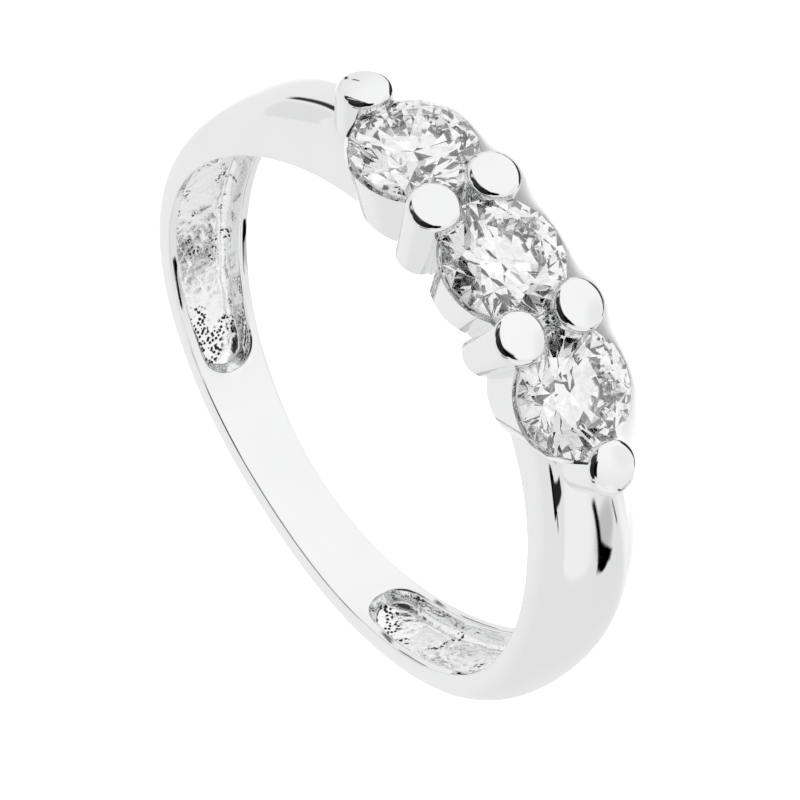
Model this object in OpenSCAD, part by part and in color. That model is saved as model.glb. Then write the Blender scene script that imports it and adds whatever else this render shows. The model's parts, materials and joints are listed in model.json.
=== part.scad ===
// Three stone ring: a cast metal ring with three round brilliants in a row.
// The ring lies on its side: the finger axis is parallel to Z, the head points to -Y,
// and the origin is in the middle of the ring's footprint. Lengths are millimetres.

/* [Band] */
// Radius of the finger hole
bore_r = 8.6; // [7.4:0.1:11]
// Width of the band where it is widest, beside the head
band_w = 3.6; // [3.2:0.1:4.4]
// Thickness of the band at the back of the ring
band_t = 1.55; // [1.3:0.05:2.2]
// Height of the straight edge along each side of the band
edge_h = 0.22; // [0.1:0.02:0.4]

/* [Recess] */
// Depth of the two hollows on the inside of the band
recess_depth = 0.6; // [0.3:0.05:0.8]
// Metal left on each side of a hollow
recess_rim = 0.34; // [0.25:0.01:0.6]
// Angle from the head where each hollow starts
recess_start = 46; // [42:1:70]
// Angle from the head where each hollow ends
recess_end = 151; // [120:1:165]

/* [Stones] */
// Diameter of each stone
stone_d = 3.85; // [3.4:0.05:4.2]
// Space between two stones
stone_gap = 0.47; // [0.3:0.01:0.7]
// Height of the girdles above the finger hole
girdle_h = 2.18; // [2.1:0.02:2.6]
// Thickness of the girdle
girdle_t = 0.1; // [0.05:0.01:0.16]
// Width of the table
table_d = 2.2; // [1.9:0.05:2.5]
// Slope of the crown
crown_angle = 34.5; // [30:0.5:38]
// Slope of the pavilion
pavilion_angle = 40.5; // [38:0.5:43]
// Length of the star facets, as a share of the crown's width
star_share = 0.5; // [0.4:0.05:0.6]
// Length of the lower girdle facets, as a share of the pavilion's width
lower_share = 0.76; // [0.6:0.02:0.85]
// Clearance between a stone and the metal
stone_clear = 0.03; // [0.02:0.01:0.08]

/* [Cups] */
// Diameter of a cup at the finger hole
cup_foot_d = 3.06; // [2.8:0.02:3.4]
// Metal outside the girdle at the rim of a cup
rim_over = 0.05; // [0:0.01:0.15]
// Distance from the girdle down to the rim of a cup
rim_drop = 0.2; // [0.1:0.02:0.4]
// How far the feet of the two outer cups stand inside their rims
cup_lean = 0.22; // [0:0.02:0.4]
// Diameter of the hole under each stone
light_hole_d = 2; // [1.6:0.1:2.3]

/* [Prongs] */
// Diameter of a prong at its tip
prong_d = 1.66; // [1.3:0.02:1.7]
// Diameter at the foot of a prong that stands between two stones
pair_foot_d = 1.3; // [1:0.02:1.5]
// Diameter at the foot of a prong at an end of the row
end_foot_d = 2.1; // [1.6:0.05:2.4]
// Height of the tips between two stones above the girdles
pair_rise = 0.74; // [0.5:0.02:0.9]
// Height of the tips at the ends above the girdles
end_rise = 0.94; // [0.6:0.02:1.1]
// Crown of the domed tip
prong_dome = 0.14; // [0.05:0.01:0.25]
// Rounding of the edge of the tip
prong_round = 0.2; // [0.08:0.01:0.25]
// How far a tip between two stones covers their edges
pair_bite = 0.19; // [0.1:0.01:0.3]
// How far a tip at an end covers the edge of its stone
end_bite = 0.32; // [0.16:0.02:0.5]
// How far the foot of a prong between two stones stands inside its tip
pair_lean = 0.16; // [0:0.02:0.3]
// How far a prong at an end leans over towards its stone
end_lean = 0.15; // [0.05:0.01:0.3]

/* [Hidden] */
$fn = 96;

// Sections of the band: angle from the head, share of band_w, share of band_t, squareness
SECTIONS = [
    [0, 0.60, 0.80, 2.6],
    [18, 0.62, 0.92, 2.6],
    [28, 0.70, 1.20, 2.8],
    [38, 0.76, 1.14, 2.9],
    [50, 0.85, 1.04, 2.7],
    [65, 0.95, 0.97, 2.4],
    [86, 1.00, 0.90, 2.2],
    [105, 0.92, 0.90, 2.1],
    [125, 0.81, 0.97, 2.0],
    [150, 0.66, 1.02, 2.0],
    [180, 0.56, 1.00, 2.0]
];
SECTION_STEP = 4;
DOME_STEPS = 14;
RECESS_STEPS = 30;

// Share of the width of a hollow that is left at its floor
FLOOR_SHARE = 0.88;
// Angle cut off the tips of the round ends of a hollow
END_TRIM = 0.4;
// How far the rough forms reach into the finger hole before it is cut
INTO_BORE = 0.5;
// Angle between two corners of the girdle, of a stone with 16
TURN = 22.5;

stone_r = stone_d / 2;
table_r = table_d / 2;
prong_r = prong_d / 2;
girdle_r = bore_r + girdle_h;
crown_h = (stone_r - table_r) * tan(crown_angle);
pavilion_h = stone_r * tan(pavilion_angle);
// Corners of the stars between the table and the girdle, measured from the girdle's middle
star_r = table_r + star_share * (stone_r - table_r);
star_z = girdle_t / 2 + crown_h - (star_r * cos(TURN) - table_r) * tan(crown_angle);
rim_r = girdle_r - rim_drop;
cup_rim_d = stone_d + 2 * rim_over;
pair_r = girdle_r + pair_rise;
end_r = girdle_r + end_rise;

// Angle between two stones, and of the prongs from the middle of the head
stone_angle = 2 * asin((stone_d + stone_gap) / 2 / girdle_r);
pair_angle = stone_angle / 2;
end_angle = stone_angle + 2 * asin((stone_r + prong_r - end_bite) / 2 / end_r);
pair_side = sqrt(pow(stone_r + prong_r - pair_bite, 2) - pow(pair_r * sin(pair_angle), 2));

// The widest piece, prong or cup, is what the head lies on
mid_z = max(pair_side + prong_r, cup_rim_d / 2);
// The finger axis stands off the origin, because the head reaches further out than the back
head_reach = max(girdle_r + girdle_t / 2 + crown_h, pair_r * cos(pair_angle));
axis_y = (head_reach - bore_r - thickness(180)) / 2;

function mix(a, b, t) = a + (b - a) * t;
function power(x, n) = x <= 0 ? 0 : pow(x, n);

// Smooth curve through one column of SECTIONS
function slope(i, c) = i <= 0 || i >= len(SECTIONS) - 1 ? 0 :
    (SECTIONS[i + 1][c] - SECTIONS[i - 1][c]) / (SECTIONS[i + 1][0] - SECTIONS[i - 1][0]);
function segment(a, i = 0) = i >= len(SECTIONS) - 2 || a < SECTIONS[i + 1][0] ? i : segment(a, i + 1);
function hermite(a, i, c, d, t) =
    (2 * pow(t, 3) - 3 * pow(t, 2) + 1) * SECTIONS[i][c]
    + (pow(t, 3) - 2 * pow(t, 2) + t) * d * slope(i, c)
    + (3 * pow(t, 2) - 2 * pow(t, 3)) * SECTIONS[i + 1][c]
    + (pow(t, 3) - pow(t, 2)) * d * slope(i + 1, c);
function section(a, c, i) =
    hermite(a, i, c, SECTIONS[i + 1][0] - SECTIONS[i][0],
        (a - SECTIONS[i][0]) / (SECTIONS[i + 1][0] - SECTIONS[i][0]));
function at(a, c) = section(abs(a), c, segment(abs(a)));

function half_width(a) = at(a, 1) * band_w / 2;
function thickness(a) = at(a, 2) * band_t;
function squareness(a) = at(a, 3);

// A point at an angle from the head, a distance from the axis and a height from the middle
function place(a, r, z) = [-r * sin(a), axis_y - r * cos(a), mid_z + z];

// Outline of the band across its width: distance from the axis, height from the middle
function band_outline(a) = concat(
    [[bore_r - INTO_BORE, -half_width(a)]],
    [for (k = [0:DOME_STEPS]) let (u = 180 * k / DOME_STEPS, n = 2 / squareness(a))
        [bore_r + edge_h + (thickness(a) - edge_h) * power(sin(u), n),
         -sign(cos(u)) * half_width(a) * power(abs(cos(u)), n)]],
    [[bore_r - INTO_BORE, half_width(a)]]
);

// Half the width of a hollow, rounded off towards both of its ends
function recess_half(a) =
    let (w = half_width(a) - recess_rim,
         d = min(a - recess_start, recess_end - a) * PI / 180 * bore_r)
    d >= w ? w : sqrt(max(0, w * w - pow(w - d, 2)));

// Share of the depth of a hollow that is left near its ends
function end_share(a) =
    let (d = min(a - recess_start, recess_end - a) * PI / 180 * bore_r)
    d >= recess_depth ? 1 : 0.5 + 0.5 * d / recess_depth;

// Skin of a tube of closed outlines, either joined end to end or closed by caps
function strip(rings, n, closed) = [
    for (i = [0:rings - (closed ? 1 : 2)], k = [0:n - 1])
        let (a = i * n, b = ((i + 1) % rings) * n, m = (k + 1) % n)
        each [[a + k, b + k, b + m], [a + k, b + m, a + m]]
];

// Places its child at an angle from the head, with Z pointing away from the axis
module radial(angle) {
    translate([0, axis_y, mid_z]) rotate([0, 0, -angle]) rotate([90, 0, 0]) children();
}

module band_form() {
    count = 360 / SECTION_STEP;
    outlines = [for (i = [0:count - 1]) let (a = -180 + i * SECTION_STEP)
        [for (p = band_outline(a)) place(a, p[0], p[1])]];
    n = len(outlines[0]);
    polyhedron([for (o = outlines) each o], strip(count, n, true));
}

// The tool that cuts one hollow: it runs into the finger hole, and is finest at its round ends
module recess(side) {
    angles = [for (i = [0:RECESS_STEPS])
        mix(recess_start + END_TRIM, recess_end - END_TRIM, (1 - cos(180 * i / RECESS_STEPS)) / 2)];
    mouth = bore_r - INTO_BORE / 2;
    outlines = [for (a = angles) let (h = recess_half(a), floor_r = bore_r + recess_depth * end_share(a)) [
        place(side * a, mouth, -h),
        place(side * a, floor_r, -h * FLOOR_SHARE),
        place(side * a, floor_r, h * FLOOR_SHARE),
        place(side * a, mouth, h)]];
    last = 4 * RECESS_STEPS;
    ends = [[0, 1, 2, 3], [last + 3, last + 2, last + 1, last]];
    polyhedron([for (o = outlines) each o],
        [for (f = concat(strip(len(outlines), 4, false), ends))
            side > 0 ? f : [for (k = [len(f) - 1:-1:0]) f[k]]]);
}

// A flared cup with a level rim; the outer two lean, their feet nearer the middle of the head
module cup(angle) {
    depth = rim_r - bore_r;
    flare = (cup_rim_d - cup_foot_d) / 2 / depth;
    tilt = sign(angle) * atan(cup_lean / depth);
    radial(angle) translate([0, 0, rim_r]) difference() {
        rotate([0, -tilt, 0]) translate([0, 0, -depth - INTO_BORE])
            cylinder(h = depth + 2 * INTO_BORE, r1 = cup_foot_d / 2 - flare * INTO_BORE,
                r2 = cup_rim_d / 2 + flare * INTO_BORE);
        translate([-cup_rim_d, -cup_rim_d, 0]) cube(2 * cup_rim_d);
    }
}

// A tapered column with a domed, round-edged tip, standing on the axis of its own frame
module prong(height, foot_d) {
    top = height - prong_dome;
    arc = [for (u = [0:30:90]) [prong_r - prong_round * (1 - cos(u)), top - prong_round * (1 - sin(u))]];
    dome = [for (k = [1:3]) let (x = 1 - k / 3)
        [(prong_r - prong_round) * x, top + prong_dome * (1 - x * x)]];
    rotate_extrude() polygon(concat([[0, 0], [foot_d / 2, 0]], arc, dome));
}

// The prong between two stones on one side: its foot stands nearer the middle than its tip
module pair_prong(angle, side) {
    foot = bore_r - INTO_BORE;
    height = pair_r - foot;
    tilt = atan(pair_lean / height);
    radial(angle) translate([0, side * (pair_side - pair_lean), foot])
        rotate([-side * tilt, 0, 0]) prong(height / cos(tilt), pair_foot_d);
}

// The prong at one end of the row, leaning over to its stone
module end_prong(side) {
    foot = bore_r - INTO_BORE;
    height = end_r - foot;
    tilt = atan(end_lean / height);
    radial(side * end_angle) translate([-side * end_lean, 0, foot])
        rotate([0, side * tilt, 0]) prong(height / cos(tilt), end_foot_d);
}

// Room for a stone and for the light hole under it
module seat(angle) {
    r = stone_r + stone_clear;
    top = girdle_t / 2 + crown_h + stone_clear;
    above = max(pair_rise, end_rise);
    radial(angle) {
        translate([0, 0, girdle_r]) rotate_extrude() polygon([
            [0, -girdle_t / 2 - pavilion_h - 2 * stone_clear],
            [r, -girdle_t / 2 - stone_clear],
            [r, girdle_t / 2 + stone_clear],
            [star_r + stone_clear, star_z + stone_clear],
            [table_r + stone_clear, top],
            [table_r + stone_clear, above + stone_clear],
            [0, above + stone_clear]]);
        translate([0, 0, bore_r - 2 * INTO_BORE]) cylinder(h = girdle_h, d = light_hole_d);
    }
}

module ring_body() color("gainsboro") {
    difference() {
        union() {
            band_form();
            for (angle = [-stone_angle, 0, stone_angle]) cup(angle);
            for (angle = [-pair_angle, pair_angle], side = [-1, 1]) pair_prong(angle, side);
            for (side = [-1, 1]) end_prong(side);
        }
        translate([0, axis_y, -INTO_BORE]) cylinder(h = 2 * (mid_z + INTO_BORE), r = bore_r);
        for (side = [-1, 1]) recess(side);
        for (angle = [-stone_angle, 0, stone_angle]) seat(angle);
    }
}

// Round brilliant: a table, 8 stars, 8 kites and 16 upper girdle facets above the girdle,
// 16 lower girdle facets and 8 mains below it
module brilliant(angle) {
    lower_r = (1 - lower_share) * stone_r;
    half = girdle_t / 2;
    function ring(r, z, first, step, n) = [for (k = [0:n - 1])
        [r * cos(first + step * k), r * sin(first + step * k), z]];
    lower_z = -half - pavilion_h + lower_r * cos(TURN) * tan(pavilion_angle);
    points = concat(
        ring(table_r, half + crown_h, 0, 45, 8),
        ring(star_r, star_z, TURN, 45, 8),
        ring(stone_r, half, 0, TURN, 16),
        ring(stone_r, -half, 0, TURN, 16),
        ring(lower_r, lower_z, TURN, 45, 8),
        [[0, 0, -half - pavilion_h]]);
    // Number of the first point of each ring above, after the table's
    star = 8;
    upper = 16;
    under = 32;
    lower = 48;
    culet = 56;
    azimuths = [0:7];
    faces = concat(
        [[7, 6, 5, 4, 3, 2, 1, 0]],
        [for (k = azimuths) [k, (k + 1) % 8, star + k]],
        [for (k = azimuths) [k, star + k, upper + 2 * k, star + (k + 7) % 8]],
        [for (k = azimuths) [star + k, upper + 2 * k + 1, upper + 2 * k]],
        [for (k = azimuths) [star + k, upper + (2 * k + 2) % 16, upper + 2 * k + 1]],
        [for (k = [0:15]) [upper + k, upper + (k + 1) % 16, under + (k + 1) % 16, under + k]],
        [for (k = azimuths) [under + 2 * k, under + 2 * k + 1, lower + k]],
        [for (k = azimuths) [under + 2 * k + 1, under + (2 * k + 2) % 16, lower + k]],
        [for (k = azimuths) [culet, lower + (k + 7) % 8, under + 2 * k, lower + k]]);
    radial(angle) translate([0, 0, girdle_r]) polyhedron(points, faces);
}

module stone_left() color("aliceblue") brilliant(-stone_angle);
module stone_centre() color("aliceblue") brilliant(0);
module stone_right() color("aliceblue") brilliant(stone_angle);

ring_body();
stone_left();
stone_centre();
stone_right();
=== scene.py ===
# Three stone ring: polished cast metal and brilliants, dressed around the CAD frame
import json
import math
import bmesh
import bpy
from mathutils import Matrix, Vector


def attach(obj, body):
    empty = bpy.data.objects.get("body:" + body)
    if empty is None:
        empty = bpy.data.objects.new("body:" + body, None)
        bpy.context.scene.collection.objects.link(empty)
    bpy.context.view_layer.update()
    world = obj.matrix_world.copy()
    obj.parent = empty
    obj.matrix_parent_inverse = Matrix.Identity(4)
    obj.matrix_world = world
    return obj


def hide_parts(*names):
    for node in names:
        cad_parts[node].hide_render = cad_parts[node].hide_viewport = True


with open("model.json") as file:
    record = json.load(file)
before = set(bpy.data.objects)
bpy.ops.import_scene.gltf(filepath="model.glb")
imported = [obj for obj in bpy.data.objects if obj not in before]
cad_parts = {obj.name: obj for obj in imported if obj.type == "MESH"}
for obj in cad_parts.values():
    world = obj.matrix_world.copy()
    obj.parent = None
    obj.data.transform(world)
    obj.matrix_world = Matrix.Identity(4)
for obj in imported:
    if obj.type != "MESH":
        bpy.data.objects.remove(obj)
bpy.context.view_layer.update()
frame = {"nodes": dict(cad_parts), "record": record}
print("frame loaded:", sorted(frame["nodes"]))

mm = 0.001
fingerAxis = Vector(frame["record"]["mounts"][0]["pos_m"])      # middle of the finger hole
bore = frame["record"]["mounts"][0]["dims"]["r_mm"]             # its radius, in millimetres


# a frame at an angle from the head, with Z away from the finger axis and Y along it
def radial(angle):
    return (Matrix.Translation(fingerAxis) @ Matrix.Rotation(math.radians(-angle), 4, "Z")
            @ Matrix.Rotation(math.radians(90), 4, "X"))


# a point at an angle from the head, a radius and a height along the finger axis
def place(angle, r, z):
    a = math.radians(angle)
    return fingerAxis + Vector((-r * math.sin(a), -r * math.cos(a), z)) * mm


def lift(height):
    return Matrix.Translation(Vector((0, 0, height)) * mm)


def pick(obj):
    bpy.ops.object.select_all(action="DESELECT")
    obj.select_set(True)
    bpy.context.view_layer.objects.active = obj


def startEdit(obj, action="DESELECT"):
    pick(obj)
    bpy.ops.object.mode_set(mode="EDIT")
    bpy.ops.mesh.select_all(action=action)
    return bmesh.from_edit_mesh(obj.data)


def endEdit():
    bpy.ops.object.mode_set(mode="OBJECT")


# a circle primitive with its vertices moved onto the points of an outline
def outline(name, points, closed=True):
    bpy.ops.object.select_all(action="DESELECT")
    bpy.ops.mesh.primitive_circle_add(vertices=len(points), radius=mm)
    obj = bpy.context.object
    obj.name = name
    bm = startEdit(obj)
    bm.verts.ensure_lookup_table()
    for v, p in zip(bm.verts, points):
        v.co = p
    if not closed:
        ends = {bm.verts[0], bm.verts[-1]}
        for e in bm.edges:
            e.select = set(e.verts) == ends
        bmesh.update_edit_mesh(obj.data)
        bpy.ops.mesh.delete(type="EDGE_FACE")
    bmesh.update_edit_mesh(obj.data)
    endEdit()
    return obj


def cleanSolid(obj, merge=0.0004):
    startEdit(obj, "SELECT")
    bpy.ops.mesh.remove_doubles(threshold=merge * mm)
    bpy.ops.mesh.normals_make_consistent(inside=False)
    endEdit()


# spins a profile of (radius, height) about the Z of the frame turn
def lathe(name, profile, turn, steps=96):
    obj = outline(name, [Vector((r, 0, z)) * mm for r, z in profile], closed=False)
    startEdit(obj, "SELECT")
    bpy.ops.mesh.spin(steps=steps, angle=math.tau, center=(0, 0, 0), axis=(0, 0, 1))
    endEdit()
    cleanSolid(obj)
    obj.data.transform(turn)
    return obj


def applyAll(obj):
    pick(obj)
    for m in list(obj.modifiers):
        bpy.ops.object.modifier_apply(modifier=m.name)


def cut(target, tool, operation):
    m = target.modifiers.new("cut", "BOOLEAN")
    m.operation = operation
    m.solver = "MANIFOLD"
    m.object = tool
    applyAll(target)
    bpy.data.objects.remove(tool)


# where the stones sit; their mesh comes with the frame
stones = {
    "d": 3.85, "gap": 0.47,            # width, and room between two stones
    "girdleH": 2.18, "girdleT": 0.1,   # height of the girdle above the finger hole, its thickness
    "table": 2.2,                      # width of the flat top
    "crown": 34.5, "pavilion": 40.5,   # slopes above and below the girdle
    "starTurn": 22.5,                  # angle from a corner of the table to a star point
    "clear": 0.03,                     # room around a stone in its seat
    # how far the tool for a seat stands over the girdle, and reaches into the finger hole
    "seatAbove": 1.1, "seatBelow": 1,
}
stoneR = stones["d"] / 2
tableR = stones["table"] / 2
girdleR = bore + stones["girdleH"]
crownH = (stoneR - tableR) * math.tan(math.radians(stones["crown"]))
pavilionH = stoneR * math.tan(math.radians(stones["pavilion"]))
stoneAngle = 2 * math.degrees(math.asin((stones["d"] + stones["gap"]) / 2 / girdleR))
seats = {"stone_left": -stoneAngle, "stone_centre": 0, "stone_right": stoneAngle}


band = {
    # angle from the head, half the width, thickness, squareness of the dome
    "sections": [
        (0, 1.080, 1.240, 2.6), (18, 1.116, 1.426, 2.6), (28, 1.260, 1.860, 2.8),
        (38, 1.368, 1.767, 2.9), (50, 1.530, 1.612, 2.7), (65, 1.710, 1.504, 2.4),
        (86, 1.800, 1.395, 2.2), (105, 1.656, 1.395, 2.1), (125, 1.458, 1.504, 2.0),
        (150, 1.188, 1.581, 2.0), (180, 1.008, 1.550, 2.0)],
    "edge": 0.22,          # straight height of each side
    "rounding": 0.09,      # radius of the inner edges
    "stations": 72,        # sections around the ring
    "domePoints": 12,      # steps over the dome of a section
    "levels": 2,           # subdivision
}


# half width, thickness and squareness of the band, on a smooth curve through the sections
def bandAt(angle):
    s = band["sections"]
    a = abs(angle)
    i = 0
    while i < len(s) - 2 and a >= s[i + 1][0]:
        i += 1

    def slope(k, c):
        if k <= 0 or k >= len(s) - 1:
            return 0
        return (s[k + 1][c] - s[k - 1][c]) / (s[k + 1][0] - s[k - 1][0])
    d = s[i + 1][0] - s[i][0]
    t = (a - s[i][0]) / d
    return [(2 * t**3 - 3 * t**2 + 1) * s[i][c] + (t**3 - 2 * t**2 + t) * d * slope(i, c)
            + (3 * t**2 - 2 * t**3) * s[i + 1][c] + (t**3 - t**2) * d * slope(i + 1, c)
            for c in (1, 2, 3)]


def makeBand():
    n = band["domePoints"]
    stations = band["stations"]
    # subdivision pulls a loop in, so each loop starts a little larger
    alongGrow = 6 / (4 + 2 * math.cos(math.tau / stations))
    acrossGrow = 6 / (4 + 2 * math.cos(math.pi / n))
    # a D-shaped section: the dome, then the inner corners and the wall of the finger hole
    keys = [("dome", 180 * k / n) for k in range(n + 1)] + [
        ("side", 1), ("corner", 1), ("wall", 1), ("flat", 0.5), ("flat", 0), ("flat", -0.5),
        ("wall", -1), ("corner", -1), ("side", -1)]

    def point(key, angle):
        halfWidth, thickness, square = bandAt(angle)
        kind, value = key
        r, z = bore, value * halfWidth
        if kind == "dome":
            s, c = max(0, math.sin(math.radians(value))), math.cos(math.radians(value))
            r = bore + band["edge"] + (thickness - band["edge"]) * acrossGrow * s ** (2 / square)
            z = -math.copysign(abs(c) ** (2 / square), c) * halfWidth
            if 0 < value < 180:
                z *= 1 + (acrossGrow - 1) * s
        elif kind == "side":
            r = bore + band["rounding"]
        elif kind == "wall":
            z = value * (halfWidth - band["rounding"])
        return place(angle, r * alongGrow, z)

    obj = outline("ring_metal", [point(key, 0) for key in keys])
    startEdit(obj, "SELECT")
    bpy.ops.mesh.spin(steps=stations, angle=math.tau, center=fingerAxis, axis=(0, 0, 1))
    endEdit()
    # each copy of the section takes the taper of its own station
    step = 360 / stations
    for i, v in enumerate(obj.data.vertices):
        flat = v.co - fingerAxis
        angle = round(math.degrees(math.atan2(-flat.x, -flat.y)) / step) * step
        v.co = point(keys[i % len(keys)], angle)
    cleanSolid(obj, merge=0.002)
    m = obj.modifiers.new("smooth", "SUBSURF")
    m.levels = m.render_levels = band["levels"]
    applyAll(obj)
    return obj


cups = {
    "foot": 3.06, "over": 0.05,    # width at the finger hole, how far the rim passes the stone
    "drop": 0.2,                   # rim below the girdle
    "lean": 0.22,                  # how far the outer two lean outwards
    "lightHole": 2.0,              # width of the hole under a stone
    "reach": 0.5,                  # how far the cone runs on past both its ends
    "sides": 128,                  # facets of a cup, and of the seat in it
}


def makeCup(angle):
    depth = stones["girdleH"] - cups["drop"]
    rimRadius = stoneR + cups["over"]
    footR = cups["foot"] / 2
    reach = cups["reach"]
    flare = (rimRadius - footR) / depth * reach
    tilt = math.copysign(math.atan2(cups["lean"], depth), angle) if angle else 0
    rim = radial(angle) @ lift(bore + depth)
    bpy.ops.object.select_all(action="DESELECT")
    bpy.ops.mesh.primitive_cone_add(
        vertices=cups["sides"], radius1=(footR - flare) * mm, radius2=(rimRadius + flare) * mm,
        depth=(depth + 2 * reach) * mm, location=(0, 0, -depth / 2 * mm))
    obj = bpy.context.object
    obj.name = "cup"
    bpy.ops.object.transform_apply(location=True, rotation=True, scale=True)
    obj.data.transform(rim @ Matrix.Rotation(-tilt, 4, "Y"))
    # the leaning cone is cut level with the girdle
    startEdit(obj, "SELECT")
    bpy.ops.mesh.bisect(plane_co=rim.translation, plane_no=rim.to_3x3() @ Vector((0, 0, 1)),
                        use_fill=True, clear_outer=True)
    bpy.ops.mesh.select_all(action="SELECT")
    bpy.ops.mesh.normals_make_consistent(inside=False)
    endEdit()
    return obj


# room for a stone and the light hole below it, as a tool for cutting
def makeSeat(angle):
    gap = stones["clear"]
    half = stones["girdleT"] / 2
    holeR = cups["lightHole"] / 2
    starR = (tableR + stoneR) / 2
    starIn = starR * math.cos(math.radians(stones["starTurn"]))
    starZ = half + crownH - (starIn - tableR) * math.tan(math.radians(stones["crown"]))
    above = stones["seatAbove"]
    low = -stones["girdleH"] - stones["seatBelow"]
    profile = [(0, low), (holeR, low),
               (holeR, -half - gap - (stoneR + gap - holeR) * pavilionH / stoneR),
               (stoneR + gap, -half - gap), (stoneR + gap, half + gap), (starR + gap, starZ + gap),
               (tableR + gap, half + crownH + gap), (tableR + gap, above), (0, above)]
    return lathe("seat", profile, radial(angle) @ lift(girdleR), steps=cups["sides"])


prongs = {
    "d": 1.66, "round": 0.25,      # width of a tip and the rounding of its rim
    "domeSlope": 14,               # how steep the dome of a tip is at its rim
    "dome": 0.1,                   # height left for it
    # width at the foot, rise above the girdle, grip over the stones and lean
    "pairFoot": 1.3, "pairRise": 0.74, "pairBite": 0.19, "pairLean": 0.16,
    "endFoot": 2.1, "endRise": 0.94, "endBite": 0.32, "endLean": 0.15,
    "root": 0.5,                   # how deep a prong starts below the finger hole's wall
    "steps": 10,                   # in the rounding of the rim, and again in the dome
}
prongR = prongs["d"] / 2
pairR = girdleR + prongs["pairRise"]
endR = girdleR + prongs["endRise"]
pairAngle = stoneAngle / 2
endAngle = stoneAngle + 2 * math.degrees(
    math.asin((stoneR + prongR - prongs["endBite"]) / 2 / endR))
pairSide = math.sqrt((stoneR + prongR - prongs["pairBite"]) ** 2
                     - (pairR * math.sin(math.radians(pairAngle))) ** 2)


# a tapered column with a domed tip, which leans about the given axis
def makeProng(name, angle, top, footD, lean, axis, side):
    foot = bore - prongs["root"]
    tilt = math.atan2(lean, top - foot)
    rise = (top - foot) / math.cos(tilt) - prongs["dome"]
    e = prongs["round"]
    profile = [(0, 0), (footD / 2, 0)]
    # the rim turns from upright to the slope of the dome, so the two meet without a crease
    slope = math.radians(prongs["domeSlope"])
    steps = prongs["steps"]
    for k in range(steps + 1):
        t = math.pi / 2 + (slope - math.pi / 2) * k / steps
        profile.append((prongR - e + e * math.sin(t), rise - e + e * math.cos(t)))
    domeR, domeZ = profile[-1]
    for k in range(1, steps + 1):
        x = 1 - k / steps
        profile.append((domeR * x, domeZ + domeR * math.tan(slope) / 2 * (1 - x * x)))
    turn = radial(angle)
    # a pair leans apart, a prong at an end leans over to its stone
    if axis == "X":
        start, tilt = Vector((0, side * (pairSide - lean), foot)), -side * tilt
    else:
        start, tilt = Vector((-side * lean, 0, foot)), side * tilt
    turn = turn @ Matrix.Translation(start * mm) @ Matrix.Rotation(tilt, 4, axis)
    return lathe(name, profile, turn)


def makeProngs():
    made = []
    for side in (-1, 1):
        for angle in (-pairAngle, pairAngle):
            made.append(makeProng("pair_prong", angle, pairR, prongs["pairFoot"],
                                  prongs["pairLean"], "X", side))
        made.append(makeProng("end_prong", side * endAngle, endR, prongs["endFoot"],
                              prongs["endLean"], "Y", side))
    return made


# the two long hollows inside the band
hollow = {
    "start": 46, "end": 151,       # angles from the head
    "depth": 0.6, "rim": 0.34,     # depth, and metal left at each side
    "lip": 0.08, "lipTurn": 75,    # rounding of the mouth, and how far the tool follows it
    "above": 0.1,                  # how far the tool stands out of the mouth
    "floorRound": 0.3,             # rounding between wall and floor
    "waver": 0.05,                 # how far the foot of the rounding wanders
    "longWave": 2.3,               # the wandering, in radians per millimetre
    "shortWave": 5.1, "shortShare": 0.6,
    "wallSlope": 0.1,              # how far a wall leans in
    # how far from its ends the width is taken for the round ends
    "startRound": 0.9, "endRound": 0.7,
    "sidePoints": 300, "endPoints": 44, "lipSteps": 4, "floorSteps": 8,
    # grain of the casting on the floor: name, size, height
    "grains": [("lumps", 0.6, 0.045), ("grain", 0.18, 0.022)],
}


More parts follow.
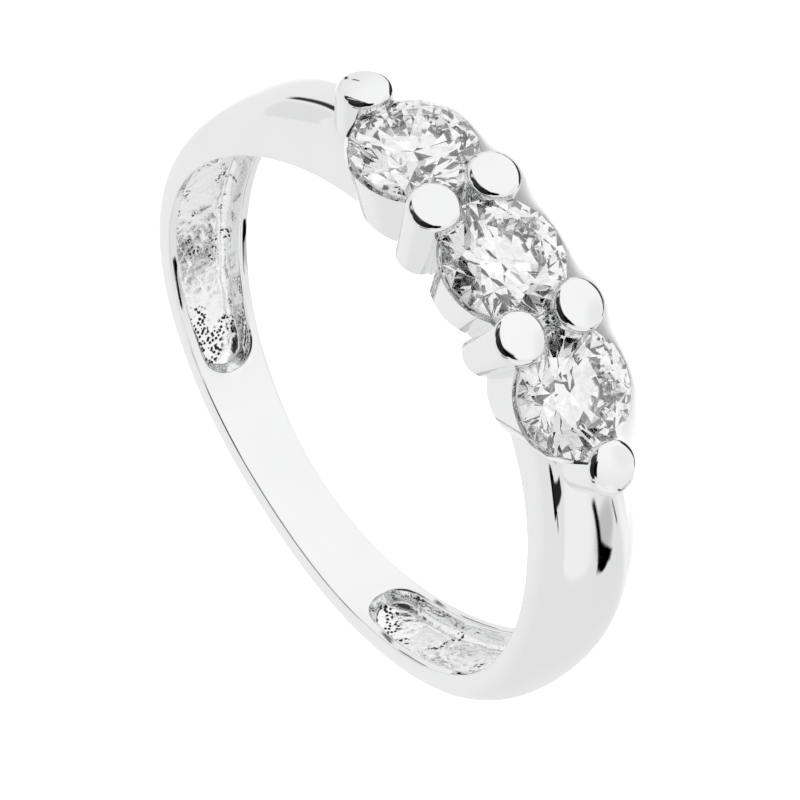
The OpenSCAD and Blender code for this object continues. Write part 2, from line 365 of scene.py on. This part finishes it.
# the tool for one hollow: rings run from the mouth over the lip and down the wall to the floor
def makeHollow(side):
    h = hollow
    lip, floorRound, depth = h["lip"], h["floorRound"], h["depth"]
    nSide, nEnd = h["sidePoints"], h["endPoints"]

    def halfAt(s):
        return bandAt(math.degrees(s / bore))[0] - h["rim"]

    s0, s1 = math.radians(h["start"]) * bore, math.radians(h["end"]) * bore
    r0, r1 = halfAt(s0 + h["startRound"]), halfAt(s1 - h["endRound"])
    c0, c1 = s0 + r0, s1 - r1

    # a cast rounding wavers along the hollow, the more the nearer it is to the floor
    def waver(s, z):
        fade = min(1, max(0, s - c0), max(0, c1 - s))
        return h["waver"] * fade * (math.sin(h["longWave"] * s + z)
                                    + h["shortShare"] * math.sin(h["shortWave"] * s - z))

    def ring(inset, r, share=0):
        points = []
        for k in range(nSide):
            s = c0 + (c1 - c0) * k / nSide
            points.append((s, -(halfAt(s) - inset - share * waver(s, -1))))
        for k in range(nEnd):
            a = math.pi * k / nEnd
            points.append((c1 + (r1 - inset) * math.sin(a), -(r1 - inset) * math.cos(a)))
        for k in range(nSide):
            s = c1 + (c0 - c1) * k / nSide
            points.append((s, halfAt(s) - inset - share * waver(s, 1)))
        for k in range(nEnd):
            a = math.pi * k / nEnd
            points.append((c0 - (r0 - inset) * math.sin(a), (r0 - inset) * math.cos(a)))
        return [place(side * math.degrees(s / bore), r, z) for s, z in points]

    # each ring: inset from the mouth, radius, share of the wavering
    tip, above = math.radians(h["lipTurn"]), h["above"]
    lipSteps, floorSteps = h["lipSteps"], h["floorSteps"]
    rings = [(-lip * (1 - math.cos(tip)) - above / math.tan(math.pi / 2 - tip),
              bore + lip * (1 - math.sin(tip)) - above)]
    for k in range(lipSteps + 1):
        a = tip * (1 - k / lipSteps)
        rings.append((-lip * (1 - math.cos(a)), bore + lip * (1 - math.sin(a))))
    for k in range(floorSteps + 1):
        a = math.pi / 2 * k / floorSteps
        rings.append((h["wallSlope"] + floorRound * (1 - math.cos(a)),
                      bore + depth - floorRound * (1 - math.sin(a)), k / floorSteps))
    obj = outline("hollow", ring(*rings[0]))
    count = len(obj.data.vertices)
    startEdit(obj, "SELECT")
    bpy.ops.mesh.edge_face_add()
    for values in rings[1:]:
        bpy.ops.mesh.extrude_edges_move()
        bm = bmesh.from_edit_mesh(obj.data)
        bm.verts.ensure_lookup_table()
        newest = bm.verts[len(bm.verts) - count:]
        for v, p in zip(newest, ring(*values)):
            v.co = p
        bmesh.update_edit_mesh(obj.data)
    wallCount = len(bm.verts)
    bm.select_history.clear()
    bm.select_history.add(newest[0])
    bpy.ops.mesh.fill_grid(span=nSide)
    endEdit()
    # the filled floor follows the curve of the band, then takes the grain of the casting, which
    # fades out in the rounding up to the wall
    floorGroup = obj.vertex_groups.new(name="floor")
    for v in obj.data.vertices:
        ringsLeft = (wallCount - 1 - v.index) // count
        if v.index >= wallCount:
            flat = v.co - fingerAxis
            flat.z = 0
            v.co += flat.normalized() * ((bore + depth) * mm - flat.length)
            floorGroup.add([v.index], 1, "REPLACE")
        elif ringsLeft < floorSteps:
            floorGroup.add([v.index], min(1, 2 * (1 - ringsLeft / floorSteps)), "REPLACE")
    cleanSolid(obj)
    for name, size, height in h["grains"]:
        texture = bpy.data.textures.new(name, "CLOUDS")
        texture.noise_scale = size * mm
        texture.noise_depth = 1
        m = obj.modifiers.new(name, "DISPLACE")
        m.texture = texture
        m.vertex_group = "floor"
        m.strength = height * mm
        m.mid_level = 0.5
    applyAll(obj)
    return obj


# the metal is one piece, as if cast and soldered
whole = {
    # the tool that clears the finger hole of the head: facets, room past its wall, length
    "holeSides": 360, "holeClear": 0.008, "holeLength": 8,
    "smoothAngle": 32,             # edges that turn less are shaded smooth
}


def makeMetal():
    cupAngles = list(seats.values())
    head = makeCup(cupAngles[0])
    for angle in cupAngles[1:]:
        cut(head, makeCup(angle), "UNION")
    for prong in makeProngs():
        cut(head, prong, "UNION")
    print("head made:", len(head.data.polygons), "faces")
    bpy.ops.object.select_all(action="DESELECT")
    bpy.ops.mesh.primitive_cylinder_add(
        vertices=whole["holeSides"], radius=(bore + whole["holeClear"]) * mm,
        depth=whole["holeLength"] * mm, location=fingerAxis)
    finger = bpy.context.object
    bpy.ops.object.transform_apply(location=True, rotation=True, scale=True)
    cut(head, finger, "DIFFERENCE")
    obj = makeBand()
    print("band made:", len(obj.data.polygons), "faces")
    cut(obj, head, "UNION")
    for angle in cupAngles:
        cut(obj, makeSeat(angle), "DIFFERENCE")
    for side in (-1, 1):
        cut(obj, makeHollow(side), "DIFFERENCE")
    pick(obj)
    bpy.ops.object.shade_smooth_by_angle(angle=math.radians(whole["smoothAngle"]))
    obj.name = "cast_metal"
    return obj


metal = makeMetal()
print("metal made:", len(metal.data.polygons), "faces")


def principled(name):
    mat = bpy.data.materials.new(name)
    mat.use_nodes = True
    return mat, mat.node_tree.nodes, mat.node_tree.links, mat.node_tree.nodes["Principled BSDF"]


# noise on the object's own coordinates, with features of the given size in millimetres
def grainNode(nodes, links, size, detail, stretch=(1, 1, 1)):
    where = nodes.new("ShaderNodeTexCoord")
    spread = nodes.new("ShaderNodeMapping")
    spread.inputs["Scale"].default_value = stretch
    noise = nodes.new("ShaderNodeTexNoise")
    noise.inputs["Scale"].default_value = 1 / (size * mm)
    noise.inputs["Detail"].default_value = detail
    links.new(where.outputs["Object"], spread.inputs["Vector"])
    links.new(spread.outputs["Vector"], noise.inputs["Vector"])
    return noise.outputs["Fac"]


def rangeNode(nodes, links, source, low, high, start=0.3, end=0.7):
    spread = nodes.new("ShaderNodeMapRange")
    spread.inputs["From Min"].default_value = start
    spread.inputs["From Max"].default_value = end
    spread.inputs["To Min"].default_value = low
    spread.inputs["To Max"].default_value = high
    links.new(source, spread.inputs["Value"])
    return spread.outputs["Result"]


def tintNode(nodes, links, source, dark, light, start=0.3, end=0.7):
    ramp = nodes.new("ShaderNodeValToRGB")
    ramp.color_ramp.elements[0].position = start
    ramp.color_ramp.elements[0].color = (*dark, 1)
    ramp.color_ramp.elements[1].position = end
    ramp.color_ramp.elements[1].color = (*light, 1)
    links.new(source, ramp.inputs["Fac"])
    return ramp.outputs["Color"]


def bumpNode(nodes, links, source, height, before=None):
    bump = nodes.new("ShaderNodeBump")
    bump.inputs["Strength"].default_value = 1
    bump.inputs["Distance"].default_value = height * mm
    links.new(source, bump.inputs["Height"])
    if before:
        links.new(before, bump.inputs["Normal"])
    return bump.outputs["Normal"]


polished = {
    "dark": (0.865, 0.868, 0.870), "light": (0.885, 0.887, 0.888),
    "cloud": 2.4,                          # size of the faint clouds in its colour
    "touch": 0.7,                          # size of the touched spots
    "smooth": 0.015, "worn": 0.05,         # roughness, freshly polished and handled
    "wave": 1.6, "waveHeight": 0.0035,     # what the polishing wheel leaves
    "hair": 0.07, "hairHeight": 0.00012,   # hairlines along the band
    "hairStretch": (1, 1, 6),
}


def whiteGold():
    mat, nodes, links, shader = principled("white_gold_polished")
    shader.inputs["Metallic"].default_value = 1
    cloudy = grainNode(nodes, links, polished["cloud"], detail=1)
    links.new(tintNode(nodes, links, cloudy, polished["dark"], polished["light"]),
              shader.inputs["Base Color"])
    touched = grainNode(nodes, links, polished["touch"], detail=2)
    links.new(rangeNode(nodes, links, touched, polished["smooth"], polished["worn"]),
              shader.inputs["Roughness"])
    wave = bumpNode(nodes, links, grainNode(nodes, links, polished["wave"], detail=0),
                    polished["waveHeight"])
    hair = grainNode(nodes, links, polished["hair"], detail=0, stretch=polished["hairStretch"])
    links.new(bumpNode(nodes, links, hair, polished["hairHeight"], wave), shader.inputs["Normal"])
    return mat


castFloor = {
    # clean metal, and the near-black painted shade in the pits of the casting
    "light": (0.98, 0.981, 0.983), "pitShade": (0.03, 0.03, 0.03),
    "grain": 0.1, "grainHeight": 0.006,
    "smooth": 0.1, "rough": 0.3,
    "pits": 0.12, "pitDepth": 0.012,       # distance of the pits of the casting, and their depth
    "pitEdge": (0.36, 0.46),               # from the middle of one of the pits to clean metal
    "pitShadeRamp": (0.2, 0.8),                 # how the colour goes over from clean metal to the painted shade in the pits
    "patch": 0.9,                          # size of the patches where they crowd
    "patchEdge": (0.62, 0.65),             # part of the noise that counts as a patch
    # spots full of pits and their painted shade: angle from the head, height from the middle,
    # radius
    "crowds": [(-145, 0.4, 0.75), (-139, 0.5, 0.55), (-143, -0.5, 0.4), (-124, 0.2, 0.3),
               (146, 0.35, 0.5)],
    "crowdCore": 0.7,                      # share of a spot that is full
    "depths": (0.24, 0.68),                # from the finger hole's wall, where this finish lies
}


# the as-cast floor of the hollows: rough metal with pits, painted near black as their shade
def castGold():
    mat, nodes, links, shader = principled("white_gold_as_cast")
    shader.inputs["Metallic"].default_value = 1
    grain = grainNode(nodes, links, castFloor["grain"], detail=2)
    where = nodes.new("ShaderNodeTexCoord")
    cells = nodes.new("ShaderNodeTexVoronoi")
    cells.inputs["Scale"].default_value = 1 / (castFloor["pits"] * mm)
    links.new(where.outputs["Object"], cells.inputs["Vector"])
    pits = rangeNode(nodes, links, cells.outputs["Distance"], 1, 0, *castFloor["pitEdge"])
    patches = grainNode(nodes, links, castFloor["patch"], detail=1)
    crowded = rangeNode(nodes, links, patches, 0, 1, *castFloor["patchEdge"])
    for angle, z, radius in castFloor["crowds"]:
        near = nodes.new("ShaderNodeVectorMath")
        near.operation = "DISTANCE"
        near.inputs[1].default_value = place(angle, bore + hollow["depth"], z)
        links.new(where.outputs["Object"], near.inputs[0])
        spot = rangeNode(nodes, links, near.outputs["Value"], 1, 0,
                         radius * castFloor["crowdCore"] * mm, radius * mm)
        more = nodes.new("ShaderNodeMath")
        more.operation = "MAXIMUM"
        links.new(crowded, more.inputs[0])
        links.new(spot, more.inputs[1])
        crowded = more.outputs["Value"]
    both = nodes.new("ShaderNodeMath")
    both.operation = "MULTIPLY"
    links.new(pits, both.inputs[0])
    links.new(crowded, both.inputs[1])
    shadedPits = both.outputs["Value"]
    # the pits take a near-black colour, which is painted shade; only their bump is real
    pitShadeColor = tintNode(nodes, links, shadedPits, castFloor["light"], castFloor["pitShade"],
                    *castFloor["pitShadeRamp"])
    links.new(pitShadeColor, shader.inputs["Base Color"])
    links.new(rangeNode(nodes, links, grain, castFloor["smooth"], castFloor["rough"]),
              shader.inputs["Roughness"])
    coarse = bumpNode(nodes, links, grain, castFloor["grainHeight"])
    links.new(bumpNode(nodes, links, shadedPits, -castFloor["pitDepth"], coarse),
              shader.inputs["Normal"])
    return mat


cutStone = {
    "clear": (1, 1, 1), "milky": (0.9, 0.91, 0.93),    # facets, and the ground girdle
    "ground": 0.3,                                     # roughness of the girdle
    "bending": 2.42,                                   # refraction of diamond
    "edgeSoft": 1.1,                                   # where the ground band has ended
}


# the mask of the girdle follows each stone, so each stone has its own copy of the finish
def brilliant(name, angle):
    mat, nodes, links, shader = principled(name)
    shader.inputs["Transmission Weight"].default_value = 1
    shader.inputs["IOR"].default_value = cutStone["bending"]
    where = nodes.new("ShaderNodeTexCoord")
    upright = nodes.new("ShaderNodeMapping")
    upright.vector_type = "TEXTURE"
    seat = radial(angle) @ lift(girdleR)
    upright.inputs["Location"].default_value = seat.translation
    upright.inputs["Rotation"].default_value = seat.to_euler()
    split = nodes.new("ShaderNodeSeparateXYZ")
    height = nodes.new("ShaderNodeMath")
    height.operation = "ABSOLUTE"
    links.new(where.outputs["Object"], upright.inputs["Vector"])
    links.new(upright.outputs["Vector"], split.inputs["Vector"])
    links.new(split.outputs["Z"], height.inputs[0])
    edge = stones["girdleT"] / 2 * mm
    girdle = rangeNode(nodes, links, height.outputs["Value"], 1, 0,
                       edge, edge * cutStone["edgeSoft"])
    links.new(tintNode(nodes, links, girdle, cutStone["clear"], cutStone["milky"], 0, 1),
              shader.inputs["Base Color"])
    links.new(rangeNode(nodes, links, girdle, 0, cutStone["ground"], 0, 1),
              shader.inputs["Roughness"])
    return mat


metal.data.materials.clear()
metal.data.materials.append(whiteGold())
metal.data.materials.append(castGold())
fromDepth, toDepth = castFloor["depths"]
for face in metal.data.polygons:
    flat = face.center - fingerAxis
    flat.z = 0
    angle = abs(math.degrees(math.atan2(-flat.x, -flat.y)))
    deep = flat.length / mm - bore
    inHollow = hollow["start"] < angle < hollow["end"] and fromDepth < deep < toDepth
    if inHollow and face.normal.dot(flat) < 0:
        face.material_index = 1
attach(metal, "root")
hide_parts("ring_body")
for name, angle in seats.items():
    stone = frame["nodes"][name]
    stone.data.materials.clear()
    stone.data.materials.append(brilliant(name.replace("stone", "brilliant"), angle))
print("finishes made")


# the camera, at the angle of the photograph
view = {
    "azimuth": 9.3, "elevation": 27.1, "roll": -118.8,   # seen from the head's side
    "distance": 202.35, "focal": 303.75, "sensor": 36,   # in millimetres
    "shiftX": 0.0194, "shiftY": -0.0069,
    "clip": 0.01,                                        # nearest that it sees, in metres
}
turnAz, turnEl, turnRoll = (math.radians(view[k]) for k in ("azimuth", "elevation", "roll"))
away = Vector((-math.sin(turnAz) * math.cos(turnEl), -math.cos(turnAz) * math.cos(turnEl),
               math.sin(turnEl)))
level = (-away).cross(Vector((0, 0, 1))).normalized()
upright = level.cross(-away)
right = math.cos(turnRoll) * level + math.sin(turnRoll) * upright
up = -math.sin(turnRoll) * level + math.cos(turnRoll) * upright
lens = bpy.data.cameras.new("camera")
lens.lens = view["focal"]
lens.sensor_width = view["sensor"]
lens.shift_x = view["shiftX"]
lens.shift_y = view["shiftY"]
lens.clip_start = view["clip"]
camera = bpy.data.objects.new("camera", lens)
bpy.context.scene.collection.objects.link(camera)
camera.matrix_world = Matrix.Translation(fingerAxis + away * view["distance"] * mm) @ Matrix(
    (right, up, away)).transposed().to_4x4()
bpy.context.scene.camera = camera


studio = {
    "floor": 2,                 # width in metres
    "floorColor": (0.9, 0.9, 0.9), "floorRough": 0.5,
    "floorLight": 4.4,          # light on the floor, which leaves a faint shadow
    "backdrop": 1,              # brightness behind the floor
    "tent": 0.86,               # brightness of the white tent in the reflections
    # parts of the tent: azimuth from the head, elevation, radius, soft edge, brightness
    "areas": [
        (10, -38, 62, 26, 1.04),       # the lamp that the tips face
        (135, 8, 52, 10, 0.93), (-135, -38, 16, 12, 0.84),
        (152, -16, 13, 8, 1.25), (-45, -46, 14, 10, 0.93),
        (-99, -31, 7, 3.5, 0.58),      # inside of the lens on the shoulder
        (-5, 54, 36, 2.5, 0.02), (35, 38, 22, 3, 0.04), (-33, 19, 18, 2.5, 0.0),
        (154, -59, 18, 2, 0.03), (180, -82, 20, 2, 0.03), (-109, -29, 3.4, 0.6, 0.0),
        (-117, 65, 6, 0.7, 0.0)],
    "stripEnd": 1,              # how much softer the ends of a strip are, in degrees
    # strips through three directions, the second halfway: width, soft edge, brightness
    "strips": [
        ((-178, -38), (-150, -49), (-122, -52), 6, 6, 1.0),
        ((103, -19), (103, 0), (103, 17), 21, 0.8, 0.84),
        ((-86, 38), (-86, 8), (-86, -22), 34, 2.5, 0.97),
        ((-12, 17), (22, 15), (62, 3), 6, 1.5, 0.05),
        ((58, 6), (70, 28), (60, 52), 12, 2, 0.04),
        ((-26, 3), (-38, 7), (-50, 10), 9, 1.5, 0.02),
        ((-118, 64.5), (-95, 57), (-79, 47), 5.8, 0.6, 0.02),
        ((-112, 61), (-112, 57.5), (-112, 54), 2.4, 0.6, 0.0),
        ((-110, -25.6), (-97, -26), (-84, -24), 2.8, 0.6, 0.0),
        ((-101, -26), (-106.5, -29.5), (-112, -33.5), 3.4, 0.6, 0.0),
        ((-111, -43), (-104.5, -42), (-98, -41), 1.6, 0.6, 0.1),
        ((97, -22.5), (107, -23.5), (115, -22), 3.2, 0.7, 0.03),
        ((84, -27), (88, -26), (92, -25), 2, 0.5, 0.2),
        ((-165, -60), (-135, -63), (-105, -60), 7, 1.5, 0.05)],
    # the stones see their own tent, with a lamp and black cards for their dark flecks
    "stoneLight": 0.92,
    "stoneAreas": [(-3, -12, 17, 5, 1.1), (-72, -3, 32, 2, 0.0), (58, 26, 20, 2, 0.0),
                   (-16, 52, 18, 2, 0.0), (4, 40, 11, 2, 0.0), (37, -34, 11, 2, 0.0)],
    "bounces": 24, "mirrorBounces": 16,    # of a light ray in the stones, and between metal faces
}


def direction(azimuth, elevation):
    a, e = math.radians(azimuth), math.radians(elevation)
    return Vector((math.sin(a) * math.cos(e), -math.cos(a) * math.cos(e), math.sin(e)))


bpy.ops.object.select_all(action="DESELECT")
bpy.ops.mesh.primitive_plane_add(size=studio["floor"])
floor = bpy.context.object
floor.name = "floor"
floorMat, nodes, links, shader = principled("floor_pale")
shader.inputs["Base Color"].default_value = (*studio["floorColor"], 1)
shader.inputs["Roughness"].default_value = studio["floorRough"]
shader.inputs["Specular IOR Level"].default_value = 0
floor.data.materials.append(floorMat)
floor.visible_glossy = False
floor.visible_transmission = False

world = bpy.data.worlds.new("studio")
bpy.context.scene.world = world
world.use_nodes = True
nodes, links = world.node_tree.nodes, world.node_tree.links
towards = nodes.new("ShaderNodeTexCoord").outputs["Generated"]


# cosine of the angle between where the ray goes and a fixed direction
def cosineTo(fixed):
    dot = nodes.new("ShaderNodeVectorMath")
    dot.operation = "DOT_PRODUCT"
    dot.inputs[1].default_value = fixed
    links.new(towards, dot.inputs[0])
    return dot.outputs["Value"]


# 0 at one value of the source and 1 at the other, with a soft step between them
def fadeNode(source, outside, inside):
    fade = nodes.new("ShaderNodeMapRange")
    fade.interpolation_type = "SMOOTHSTEP"
    fade.inputs["From Min"].default_value = outside
    fade.inputs["From Max"].default_value = inside
    links.new(source, fade.inputs["Value"])
    return fade.outputs["Result"]


# 1 within an angle of a direction
def disc(middle, reach, soft):
    return fadeNode(cosineTo(middle), math.cos(math.radians(reach + soft)),
                    math.cos(math.radians(max(0, reach - soft))))


def mathNode(operation, first, second=None):
    node = nodes.new("ShaderNodeMath")
    node.operation = operation
    links.new(first, node.inputs[0])
    if isinstance(second, (int, float)):
        node.inputs[1].default_value = second
    elif second is not None:
        links.new(second, node.inputs[1])
    return node.outputs["Value"]


def blendNode(share, before, after):
    mix = nodes.new("ShaderNodeMix")
    links.new(share, mix.inputs["Factor"])
    if isinstance(before, (int, float)):
        mix.inputs["A"].default_value = before
    else:
        links.new(before, mix.inputs["A"])
    if isinstance(after, (int, float)):
        mix.inputs["B"].default_value = after
    else:
        links.new(after, mix.inputs["B"])
    return mix.outputs["Result"]


glow = studio["tent"]
for azimuth, elevation, radius, soft, bright in studio["areas"]:
    glow = blendNode(disc(direction(azimuth, elevation), radius, soft), glow, bright)
# a strip follows the circle through its three directions, as far as the outer two
for first, middle, last, width, soft, bright in studio["strips"]:
    a, m, b = direction(*first), direction(*middle), direction(*last)
    pole = (m - a).cross(b - a).normalized()
    off = mathNode("ABSOLUTE", mathNode("SUBTRACT", cosineTo(pole), pole.dot(a)))
    perDegree = math.radians(1) * math.sqrt(1 - pole.dot(a) ** 2)
    across = fadeNode(off, (width / 2 + soft) * perDegree, max(0, width / 2 - soft) * perDegree)
    along = disc(m, math.degrees(max(m.angle(a), m.angle(b))), soft + studio["stripEnd"])
    glow = blendNode(mathNode("MULTIPLY", across, along), glow, bright)
stoneGlow = studio["stoneLight"]
for azimuth, elevation, radius, soft, bright in studio["stoneAreas"]:
    stoneGlow = blendNode(disc(direction(azimuth, elevation), radius, soft), stoneGlow, bright)
path = nodes.new("ShaderNodeLightPath")
glow = blendNode(path.outputs["Is Singular Ray"], glow, stoneGlow)
glow = blendNode(path.outputs["Is Diffuse Ray"], glow, studio["floorLight"])
glow = blendNode(path.outputs["Is Camera Ray"], glow, studio["backdrop"])
background = nodes["Background"]
background.inputs["Color"].default_value = (1, 1, 1, 1)
links.new(glow, background.inputs["Strength"])

bpy.context.scene.view_settings.view_transform = "Standard"
bpy.context.scene.cycles.max_bounces = studio["bounces"]
bpy.context.scene.cycles.transmission_bounces = studio["bounces"]
bpy.context.scene.cycles.glossy_bounces = studio["mirrorBounces"]
print("studio made")
